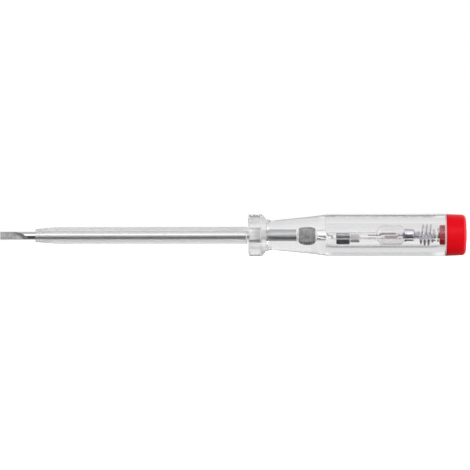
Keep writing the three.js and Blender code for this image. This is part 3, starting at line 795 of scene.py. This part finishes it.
def handle_rings():
    """The handle's whole surface: front face, outside, spigot, bore and the blade's seat"""
    face = [(HANDLE_FRONT, SHANK_RADIUS - SINK), (HANDLE_FRONT, COLLAR_FACE_RADIUS - 0.1)]
    corner_rise = CORNER_RADIUS - COLLAR_FACE_RADIUS
    bulge = arc(HANDLE_FRONT + COLLAR_BULGE, COLLAR_FACE_RADIUS, COLLAR_BULGE, corner_rise, 180, 90, 16)
    top = CORNER_RADIUS - COLLAR_ROUNDING
    edge = arc(COLLAR_END - COLLAR_ROUNDING, top, COLLAR_ROUNDING, COLLAR_ROUNDING, 90, 0, 8)
    slope = [
        (COLLAR_END + COLLAR_SLOPE * t, top + (NECK_FOOT_RADIUS - top) * t)
        for t in (0.2, 0.4, 0.6, 0.8, 0.92)
    ]
    foot = COLLAR_END + COLLAR_SLOPE
    rise = BODY_RADIUS - NECK_WAIST_RADIUS
    neck = through([
        (foot, NECK_FOOT_RADIUS),
        ((foot + NECK_WAIST) / 2, NECK_WAIST_RADIUS + (NECK_FOOT_RADIUS - NECK_WAIST_RADIUS) / 5),
        (NECK_WAIST, NECK_WAIST_RADIUS),
        *((NECK_WAIST + NECK_LENGTH * u, NECK_WAIST_RADIUS + rise * v) for u, v in NECK_SHARES),
        (NECK_WAIST + NECK_LENGTH, BODY_RADIUS),
        (NECK_WAIST + NECK_LENGTH + 2, BODY_RADIUS),
    ], 66)
    shoulder = rounded([
        (SHOULDER - 20, BODY_RADIUS),
        (SHOULDER, BODY_RADIUS),
        (SHOULDER, SPIGOT_RADIUS + 1),
    ], 0.5)
    inside = rounded([
        (SHOULDER, SPIGOT_RADIUS + 0.9),
        (SHOULDER, SPIGOT_RADIUS),
        (HANDLE_END, SPIGOT_RADIUS),
        (HANDLE_END, BORE_RADIUS),
        (BORE_FLOOR + 10, BORE_RADIUS),
    ], 0.25)
    floor = [
        (BORE_FLOOR + 0.03, BORE_RADIUS),
        (BORE_FLOOR, BORE_RADIUS - 0.03),
        (BORE_FLOOR, SHANK_RADIUS + 0.1),
    ]
    return [
        *(ring(x, r, HANDLE_ANGLES) for x, r in face),
        *(faceted_ring(x, r) for x, r in bulge + edge + slope),
        *(skin_ring(x, min(r, BODY_RADIUS)) for x, r in neck + shoulder),
        *(ring(x, r, HANDLE_ANGLES) for x, r in inside + floor),
        *(rod_ring(x, HANDLE_ANGLES, SINK) for x in reversed(coined_stations())),
    ]


handle = shaped("clear_handle", handle_rings(), handle_acetate, looped=True)
belongs(handle, "handle", "clear_handle", "handle")

# The red cap: skirt over the spigot, boss in the bore, and a hole for the contact
skirt = SPIGOT_RADIUS + FIT_GAP
groove = HANDLE_END + FIT_GAP
recess = CONTACT_OUTER_RADIUS + FIT_GAP
recess_floor = CONTACT_FACE - CONTACT_HEAD - FIT_GAP
corner_x = CAP_FACE - CAP_CROWN - CAP_CORNER
hole = CONTACT_STEM_RADIUS + FIT_GAP / 2
cap = turned("red_end_cap", [
    *rounded([
        (recess_floor, hole),
        (CAP_FRONT, hole),
        (CAP_FRONT, BOSS_RADIUS - BOSS_CHAMFER),
        (CAP_FRONT + BOSS_CHAMFER, BOSS_RADIUS),
        (groove, BOSS_RADIUS),
        (groove, skirt),
        (CAP_RIM, skirt),
        (CAP_RIM, CAP_RIM_RADIUS),
        (corner_x, CAP_END_RADIUS),
    ], 0.15)[1:-1],
    *arc(corner_x, CAP_END_RADIUS - CAP_CORNER, CAP_CORNER, CAP_CORNER, 90, 4, 14),
    *rounded([
        (CAP_FACE - CAP_CROWN, CAP_END_RADIUS - CAP_CORNER - 0.2),
        (CAP_FACE, recess + 0.1),
        (CAP_FACE, recess),
        (recess_floor, recess),
        (recess_floor, hole),
    ], 0.12)[1:],
], red_abs, BODY_ROUND, looped=True)
belongs(cap, "cap", "red_cap", "end_cap")

# The rivet through the cap is the touch contact
rivet = turned("riveted_touch_contact", [
    (CONTACT_FRONT, 0),
    *rounded([
        (CONTACT_FRONT, 0.2),
        (CONTACT_FRONT, CONTACT_INNER_RADIUS),
        (CONTACT_FRONT + CONTACT_HEAD, CONTACT_INNER_RADIUS),
        (CONTACT_FRONT + CONTACT_HEAD, CONTACT_STEM_RADIUS),
        (CONTACT_FACE - CONTACT_HEAD, CONTACT_STEM_RADIUS),
        (CONTACT_FACE - CONTACT_HEAD, CONTACT_OUTER_RADIUS),
        (CONTACT_FACE - 0.15, CONTACT_OUTER_RADIUS),
        (CONTACT_FACE, 1.2),
        (CONTACT_FACE, 0.2),
    ], 0.15),
    (CONTACT_FACE, 0),
], nickel)
belongs(rivet, "cap", "nickel_plate", "touch_contact")


# Geometry Nodes for what follows a path
def new_tree(name, inputs):
    """A Geometry Nodes tree with named inputs and one output"""
    tree = bpy.data.node_groups.new(name, "GeometryNodeTree")
    for label, kind in inputs.items():
        tree.interface.new_socket(label, in_out="INPUT", socket_type="NodeSocket" + kind)
    tree.interface.new_socket("Piece", in_out="OUTPUT", socket_type="NodeSocketGeometry")
    return tree, add_node(tree, "NodeGroupInput").outputs


def end_tree(tree, curve, radius, sides, finish):
    """Sweeps a round wire along the curve and gives it its finish"""
    section = add_node(tree, "GeometryNodeCurvePrimitiveCircle", {
        "Resolution": sides,
        "Radius": radius,
    })
    tube = add_node(tree, "GeometryNodeCurveToMesh", {
        "Curve": curve,
        "Profile Curve": section,
        "Fill Caps": True,
    })
    whole = add_node(tree, "GeometryNodeRealizeInstances", (tube,))
    done = add_node(tree, "GeometryNodeSetMaterial", {"Geometry": whole, "Material": finish})
    add_node(tree, "NodeGroupOutput", {"Piece": done})
    return tree


def wire_tree():
    """A wire along a bent line, with its bends rounded"""
    tree, given = new_tree("bent_wire", {
        "Line": "Geometry",
        "Wire radius": "Float",
        "Bend radius": "Float",
        "Finish": "Material",
    })
    line = add_node(tree, "GeometryNodeMeshToCurve", (given["Line"],))
    bends = add_node(tree, "GeometryNodeFilletCurve", {
        "Curve": line,
        "Count": 10,
        "Radius": given["Bend radius"],
        "Limit Radius": True,
    }, {"mode": "POLY"})
    return end_tree(tree, bends, given["Wire radius"], 24, given["Finish"])


def spring_tree():
    """A barrel spring of one wire: close narrow coils at both ends, wide coils between"""
    measures = (*SPRING_SIZES, *SPRING_TURNS)
    tree, given = new_tree("barrel_spring", {
        "Blank": "Geometry",
        **{label: "Float" for label in measures},
        "Steps": "Int",
        "Finish": "Material",
    })
    line = add_node(tree, "GeometryNodeCurvePrimitiveLine", {"End": (1, 0, 0)})
    points = add_node(tree, "GeometryNodeResampleCurve", {"Curve": line, "Count": given["Steps"]})
    # Each row is a value, how it is made, and what from: an input, a value above it or a number.
    # The narrow radius is the front one in the first half of the wire, the rear one in the second
    made = {label: given[label] for label in measures}
    made["share"] = add_node(tree, "GeometryNodeSplineParameter").outputs["Factor"]
    for name, how, *terms in (
        ("turn", "MULTIPLY", "share", "Turns"),
        ("left", "SUBTRACT", "Turns", "turn"),
        ("middle end", "SUBTRACT", "Turns", "End turns"),
        ("cone end", "ADD", "End turns", "Cone turns"),
        ("opened", "SMOOTHSTEP", "turn", "End turns", "cone end"),
        ("closed", "SMOOTHSTEP", "left", "End turns", "cone end"),
        ("wide", "MINIMUM", "opened", "closed"),
        ("first half", "LESS_THAN", "share", 0.5),
        ("extra", "SUBTRACT", "Front radius", "Rear radius"),
        ("narrow", "MULTIPLY_ADD", "first half", "extra", "Rear radius"),
        ("reach", "SUBTRACT", "Coil radius", "narrow"),
        ("radius", "MULTIPLY_ADD", "wide", "reach", "narrow"),
        ("front", "LINEAR", "turn", 0, "End turns", 0, "End rise"),
        ("middle", "LINEAR", "turn", "End turns", "middle end", 0, "Middle rise"),
        ("rear", "LINEAR", "turn", "middle end", "Turns", 0, "End rise"),
        ("seat", "ADD", "Front", "Wire radius"),
        ("to middle", "ADD", "seat", "front"),
        ("from middle", "ADD", "middle", "rear"),
        ("X", "ADD", "to middle", "from middle"),
        ("angle", "MULTIPLY", "turn", 2 * math.pi),
        ("backwards", "MULTIPLY", "angle", -1.0),
        ("sine", "SINE", "backwards"),
        ("cosine", "COSINE", "angle"),
        ("Y", "MULTIPLY", "radius", "sine"),
        ("Z", "MULTIPLY", "radius", "cosine"),
    ):
        kind, settings = "ShaderNodeMath", how
        if how in ("LINEAR", "SMOOTHSTEP"):
            kind, settings = "ShaderNodeMapRange", {"interpolation_type": how}
        made[name] = add_node(tree, kind, [made.get(term, term) for term in terms], settings)
    place = add_node(tree, "ShaderNodeCombineXYZ", {axis: made[axis] for axis in "XYZ"})
    coil = add_node(tree, "GeometryNodeSetPosition", {"Geometry": points, "Position": place})
    return end_tree(tree, coil, given["Wire radius"], 16, given["Finish"])


def grown(name, tree, inputs, points=((0, 0, 0),)):
    """An object whose mesh is what the tree makes of a line of points and its inputs"""
    mesh = bpy.data.meshes.new(name)
    mesh.from_pydata([Vector(p) * MM for p in points], [(i, i + 1) for i in range(len(points) - 1)], [])
    obj = in_scene(name, smoothed(mesh))
    modifier = obj.modifiers.new("nodes", "NODES")
    modifier.node_group = tree
    sockets = {s.name: s.identifier for s in tree.interface.items_tree if s.in_out == "INPUT"}
    for label, value in inputs.items():
        modifier[sockets[label]] = value
    settle(obj)
    return obj


bent_wire = wire_tree()
spring = grown("barrel_contact_spring", spring_tree(), {
    **{label: size * MM for label, size in SPRING_SIZES.items()},
    **SPRING_TURNS,
    "Steps": SPRING_STEPS,
    "Finish": spring_steel,
})
belongs(spring, "cap", "spring_wire", "contact_spring")
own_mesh(spring)


# The resistor with its leads
def wire(name, node, points, radius, bend=0.1, material=tinned_copper, slot="tinned_wire"):
    """A bent wire of the stack, tinned unless another finish is given"""
    obj = grown(name, bent_wire, {
        "Wire radius": radius * MM,
        "Bend radius": bend * MM,
        "Finish": material,
    }, points)
    belongs(obj, "stack", slot, node)


def rod_profile(front, end, radius, rounding):
    """A plain rod with rounded ends"""
    outline = [(front, 0.1), (front, radius), (end, radius), (end, 0.1)]
    return [(front, 0), *rounded(outline, rounding, 6), (end, 0)]


for name, radius, rounding, material, slot, node in (
    ("lacquered_resistor", RESISTOR_RADIUS, 0.5, lacquer, "resistor_black", "resistor_body"),
    ("resistor_ferrule", RESISTOR_CAP_RADIUS, 0.4, dull_nickel, "nickel_plate", "resistor_end_cap"),
):
    piece = turned(name, rod_profile(*span(node), radius, rounding), material, lift=-STACK_DROP)
    belongs(piece, "stack", slot, node)

resistor_front = span("resistor_body")[0]
lead_front = span("resistor_front_lead")[0]
wire("resistor_lead", "resistor_front_lead", [
    (resistor_front + 0.2, 0, -STACK_DROP),
    (resistor_front - 1.3, 0, -STACK_DROP),
    (resistor_front - 1.7, 0, -STACK_DROP + 1.2),
    (lead_front + 0.7, 0, -STACK_DROP + 1.2),
    (lead_front + 0.25, 0, -STACK_DROP + 2.3),
], RESISTOR_LEAD_RADIUS, bend=0.5)
joining_front, joining_end = span("joining_lead")
wire("joining_lead_wire", "joining_lead", [
    (joining_front - 0.2, 0, -STACK_DROP),
    (joining_end, 0, -STACK_DROP),
], JOINING_LEAD_RADIUS)


# The glow lamp: envelope, stem, electrodes, leads and base
def glass_outline(offset, first, last):
    """The envelope's outline at one depth in its wall, from the dome to the neck"""
    full, slim = GLASS_RADIUS - offset, GLASS_NECK_RADIUS - offset
    shoulder = GLASS_FRONT + GLASS_DOME + GLASS_BARREL
    dome = arc(GLASS_FRONT + GLASS_DOME, 0, -(GLASS_DOME - offset), full, 0, 90, 20)
    fall = arc(shoulder, slim, GLASS_SHOULDER, full - slim, 90, 0, 12)
    return [(first, LEAD_IN_RADIUS)] + [p for p in dome if p[1] > LEAD_IN_RADIUS] + fall + [(last, slim)]


envelope = turned("blown_glass_envelope", [
    *glass_outline(0, GLASS_FRONT, GLASS_END - 0.1),
    (GLASS_END, GLASS_NECK_RADIUS - GLASS_WALL / 2),
    *reversed(glass_outline(GLASS_WALL, GLASS_FRONT + 0.9, GLASS_END - 0.1)),
], glass, looped=True)
belongs(envelope, "stack", "lamp_glass", "lamp_glass")

stem_front, stem_end = span("lamp_stem")
stem = turned("glass_stem", rounded([
    (stem_front, LEAD_IN_RADIUS),
    (stem_front, STEM_RADIUS),
    (stem_front + 1.1, STEM_RADIUS),
    (stem_front + 2.2, STEM_FOOT_RADIUS),
    (stem_end, STEM_FOOT_RADIUS),
    (stem_end, LEAD_IN_RADIUS),
], 0.3, looped=True), glass, SMALL_ROUND, looped=True)
belongs(stem, "stack", "lamp_glass", "lamp_stem")

for node in ("lamp_front_lead", "lamp_rear_lead"):
    wire(node + "_in", node, [(x, 0, 0) for x in span(node)], LEAD_IN_RADIUS)


def in_lamp(x, y, z=0.0):
    """A point among the electrodes, which stand turned about the tool's axis"""
    cos, sin = math.cos(ELECTRODE_TURN), math.sin(ELECTRODE_TURN)
    return x, y * cos - z * sin, y * sin + z * cos


front_tip, front_end = span("lamp_front_electrode")
wire("front_electrode_wire", "lamp_front_electrode", [
    in_lamp(front_tip, 0),
    in_lamp(front_tip + 0.9, ELECTRODE_OFFSET),
    in_lamp(front_end, ELECTRODE_OFFSET),
], ELECTRODE_RADIUS, 0.6, shaded_electrode_wire, "electrode")
rear_tip, rear_end = span("lamp_rear_electrode")
wire("rear_electrode_wire", "lamp_rear_electrode", [
    in_lamp(rear_tip, -ELECTRODE_OFFSET),
    in_lamp(rear_end - 1.2, -ELECTRODE_OFFSET),
    in_lamp(rear_end - 0.1, 0),
], ELECTRODE_RADIUS, 0.6, coated_wire, "electrode")
brace_front, brace_end = span("lamp_support_wire")
wire("brace_wire", "lamp_support_wire", [
    in_lamp(brace_front, ELECTRODE_OFFSET, 0.275),
    in_lamp(brace_end, 0.55, 0.55),
], BRACE_RADIUS)

base = turned("lamp_base_shell", [
    *rounded([
        (BASE_MOUTH, GLASS_NECK_RADIUS + 0.1),
        (BASE_MOUTH, BASE_FLANGE_RADIUS),
        (BASE_MOUTH + 0.5, BASE_FLANGE_RADIUS),
        (BASE_MOUTH + 0.7, BASE_RADIUS),
        (BASE_SEAT - 1.2, BASE_RADIUS),
        (BASE_SEAT - 0.35, BASE_RADIUS - 0.4),
        (BASE_SEAT, BASE_SEAT_RADIUS),
        (BASE_SEAT, 0.2),
    ], 0.3)[:-1],
    (BASE_SEAT, 0),
], shell_nickel)
belongs(base, "stack", "nickel_plate", "lamp_base_cap")
solder_front, solder_end = span("lamp_solder_tip")
drop = turned("solder_drop", [
    (solder_front - FIT_GAP, 0),
    (solder_front - FIT_GAP, SOLDER_RADIUS + 0.15),
    *arc(solder_end - 0.8, SOLDER_RADIUS - 0.75, 0.8, 0.75, 90, 10, 8),
    (solder_end, 0),
], solder, SMALL_ROUND)
belongs(drop, "stack", "solder", "lamp_solder_tip")


# The studio: a light tent that is dark below the camera, a pale floor, and one soft lamp
FLOOR_HEIGHT = -BODY_RADIUS * MM
FLOOR_HALF = 4
PAPER = 0.88
PAPER_GLOW = 0.55
# How bright the tent is at heights from straight down (-1) to straight up (1)
FRONT_GLOW = {
    -1: 0.12, -0.8: 0.05, -0.45: 0.06, -0.2: 0.24, 0: 0.55, 0.2: 0.88, 0.5: 0.95, 0.85: 0.72, 1: 0.5,
}
BACK_GLOW = {-1: 0.12, -0.85: 0.25, -0.6: 0.55, -0.3: 0.75, 0: 0.76, 0.3: 0.8, 0.88: 0.8, 1: 0.4}
# The same for light that has come through clear plastic, which blurs and evens out the tent
SOFT_FRONT_GLOW = {
    -1: 0.12, -0.87: 0.1, -0.67: 0.12, -0.42: 0.35, -0.2: 0.95, 0: 1.1, 0.2: 0.85, 0.5: 0.9, 1: 1.3,
}
SOFT_BACK_GLOW = {
    -1: 0.1, -0.96: 0.4, -0.9: 0.7, -0.85: 0.75, -0.3: 0.78, 0: 0.78, 0.6: 0.8, 0.9: 0.85, 1: 0.7,
}
# The tent's side panels, towards both ends of the tool, each with a bright lamp behind its middle
SIDE_GLOW = 1.1
END_GLOW = 1.2
# The painted pool of light beside the handle, its reach in millimetres, and the floor's painted glow
# around it
POOL_FULL, POOL_END = 14.0, 34.0
POOL_GLOW = 0.28
POOL_ROUND_ABOUT = 0.03


def light_tent():
    """The world: white to the camera, and the tent's own glow to everything else"""
    world = bpy.data.worlds.new("light_tent")
    world.use_nodes = True
    bpy.context.scene.world = world
    tree = world.node_tree
    tree.nodes.clear()
    direction = add_node(tree, "ShaderNodeTexCoord").outputs["Generated"]
    axes = add_node(tree, "ShaderNodeSeparateXYZ", (direction,)).outputs
    height = add_node(tree, "ShaderNodeMapRange", (axes["Z"], -1.0))
    behind = add_node(tree, "ShaderNodeMapRange", (axes["Y"], -0.2, 0.2))
    path = add_node(tree, "ShaderNodeLightPath").outputs
    tents = []
    for pair in ((FRONT_GLOW, BACK_GLOW), (SOFT_FRONT_GLOW, SOFT_BACK_GLOW)):
        front, back = (
            add_node(tree, "ShaderNodeValToRGB", (height,), stops={
                (z + 1) / 2: (strength, strength, strength, 1) for z, strength in glow.items()
            })
            for glow in pair
        )
        tents.append(add_node(tree, "ShaderNodeMix", {"Factor": behind, "A": front, "B": back}, RGBA))
    glow = add_node(tree, "ShaderNodeMix", {
        "Factor": path["Is Transmission Ray"],
        "A": tents[0],
        "B": tents[1],
    }, RGBA)
    sideways = add_node(tree, "ShaderNodeMath", (axes["X"],), "ABSOLUTE")
    at_side, at_end = (
        add_node(tree, "ShaderNodeMapRange", (sideways, low, high, 0, strength))
        for low, high, strength in ((0.7, 0.85, SIDE_GLOW), (0.93, 0.96, END_GLOW))
    )
    both = add_node(tree, "ShaderNodeMath", (at_side, at_end), "ADD")
    panels = add_node(tree, "ShaderNodeVectorMath", (glow, both), "ADD")
    seen = add_node(tree, "ShaderNodeMix", {
        "Factor": path["Is Camera Ray"],
        "A": panels,
        "B": (1, 1, 1, 1),
    }, RGBA)
    background = add_node(tree, "ShaderNodeBackground", {"Color": seen})
    add_node(tree, "ShaderNodeOutputWorld", {"Surface": background})


def pale_floor():
    """A floor that is white to the camera but for the shadow; reflections see the tent through it"""
    half = FLOOR_HALF
    corners = [(-half, -half), (half, -half), (half, half), (-half, half)]
    mesh = bpy.data.meshes.new("pale_floor")
    mesh.from_pydata([(x, y, FLOOR_HEIGHT) for x, y in corners], [], [(0, 1, 2, 3)])
    material, tree, place = new_material("white_paper_sweep")
    axes = add_node(tree, "ShaderNodeSeparateXYZ", (place,)).outputs
    path = add_node(tree, "ShaderNodeLightPath").outputs
    paper = add_node(tree, "ShaderNodeBsdfDiffuse", {"Color": (PAPER, PAPER, PAPER, 1)})
    to_camera = add_node(tree, "ShaderNodeMath", (path["Is Camera Ray"], PAPER_GLOW), "MULTIPLY")
    # A painted pool of light: the floor glows beside the handle, where the handle would gather light, and
    # only rays through the plastic see it
    reach = axes["Y"], POOL_END * MM, POOL_FULL * MM
    beside = add_node(tree, "ShaderNodeMapRange", (*reach, POOL_ROUND_ABOUT, POOL_GLOW))
    along = add_node(tree, "ShaderNodeMapRange", (axes["X"], BORE_FLOOR * MM, (BORE_FLOOR + 6) * MM))
    pool = add_node(tree, "ShaderNodeMix", {"Factor": along, "A": POOL_ROUND_ABOUT, "B": beside})
    through_plastic = path["Is Transmission Ray"]
    lift = add_node(tree, "ShaderNodeMath", (through_plastic, pool, to_camera), "MULTIPLY_ADD")
    glow = add_node(tree, "ShaderNodeEmission", {"Strength": lift})
    white = add_node(tree, "ShaderNodeAddShader", (paper, glow))
    nothing = add_node(tree, "ShaderNodeBsdfTransparent")
    mirrored = add_node(tree, "ShaderNodeMath", (path["Glossy Depth"], 0.5), "GREATER_THAN")
    surface = add_node(tree, "ShaderNodeMixShader", (mirrored, white, nothing))
    add_node(tree, "ShaderNodeOutputMaterial", {"Surface": surface})
    mesh.materials.append(material)
    in_scene("pale_floor", mesh)


light_tent()
pale_floor()

# One soft lamp in front of the tool, aimed down at its middle
LAMP_DISTANCE = 0.5
LAMP_TILT = math.radians(25)
LAMP_WIDTH, LAMP_HEIGHT = 0.6, 0.26
LAMP_WATTS = 0.64
TOOL_MIDDLE = Vector((95 * MM, 0, 0))
lamp = bpy.data.lights.new("front_lamp", "AREA")
lamp.shape = "RECTANGLE"
lamp.size = LAMP_WIDTH
lamp.size_y = LAMP_HEIGHT
lamp.energy = LAMP_WATTS
front_lamp = in_scene("front_lamp", lamp)
front_lamp.location = TOOL_MIDDLE + LAMP_DISTANCE * Vector((0, -math.cos(LAMP_TILT), math.sin(LAMP_TILT)))
front_lamp.rotation_euler = (TOOL_MIDDLE - front_lamp.location).to_track_quat("-Z", "Y").to_euler()

# The camera looks square at the tool's side from far away, rolled as the photograph is
VIEW_WIDTH = 191.43 * MM
VIEW_CENTRE = Vector((95.6 * MM, 0, 0.14 * MM))
LENS = 400.0
ROLL = math.radians(0.09)
camera_data = bpy.data.cameras.new("camera")
camera_data.lens = LENS
camera_data.clip_end = 20
camera = in_scene("camera", camera_data)
distance = VIEW_WIDTH * LENS / camera_data.sensor_width
camera.location = VIEW_CENTRE + Vector((0, -distance, 0))
camera.rotation_euler = (math.radians(90), ROLL, 0)
bpy.context.scene.camera = camera
bpy.context.scene.view_settings.view_transform = "Standard"
